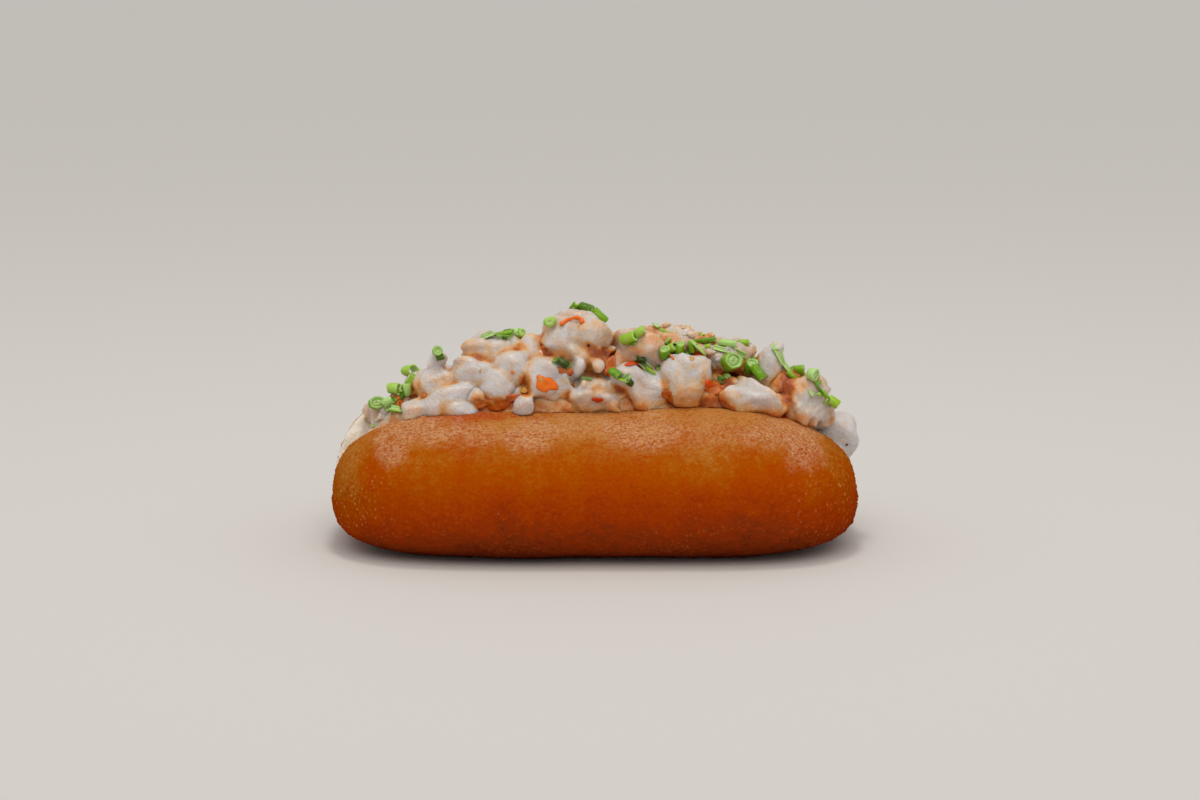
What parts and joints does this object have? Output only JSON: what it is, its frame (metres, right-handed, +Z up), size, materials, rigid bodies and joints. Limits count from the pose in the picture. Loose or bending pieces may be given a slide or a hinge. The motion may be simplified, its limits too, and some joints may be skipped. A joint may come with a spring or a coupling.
{
  "type": "prawn bao bun",
  "caption": "Golden fried bao roll, split along the top and joined underneath, with a heap of chopped prawn and spring onion in the split.",
  "frame": {"origin": "middle of the flat underside, under the middle of the roll", "axes": "+X along the roll, +Y from the front half to the rear half, +Z up"},
  "size_m": [0.1196, 0.066, 0.0554],
  "materials": {
    "fried_crust": "golden brown fried bread with fine blisters and a light sheen, white crumb on the cut faces",
    "prawn_and_onion": "moist cooked prawn pieces, white to peach, with orange sauce between them and green onion rings"
  },
  "bodies": {
    "root": {"bun": "fried_crust", "prawn_filling": "prawn_and_onion"}
  },
  "joints": []
}
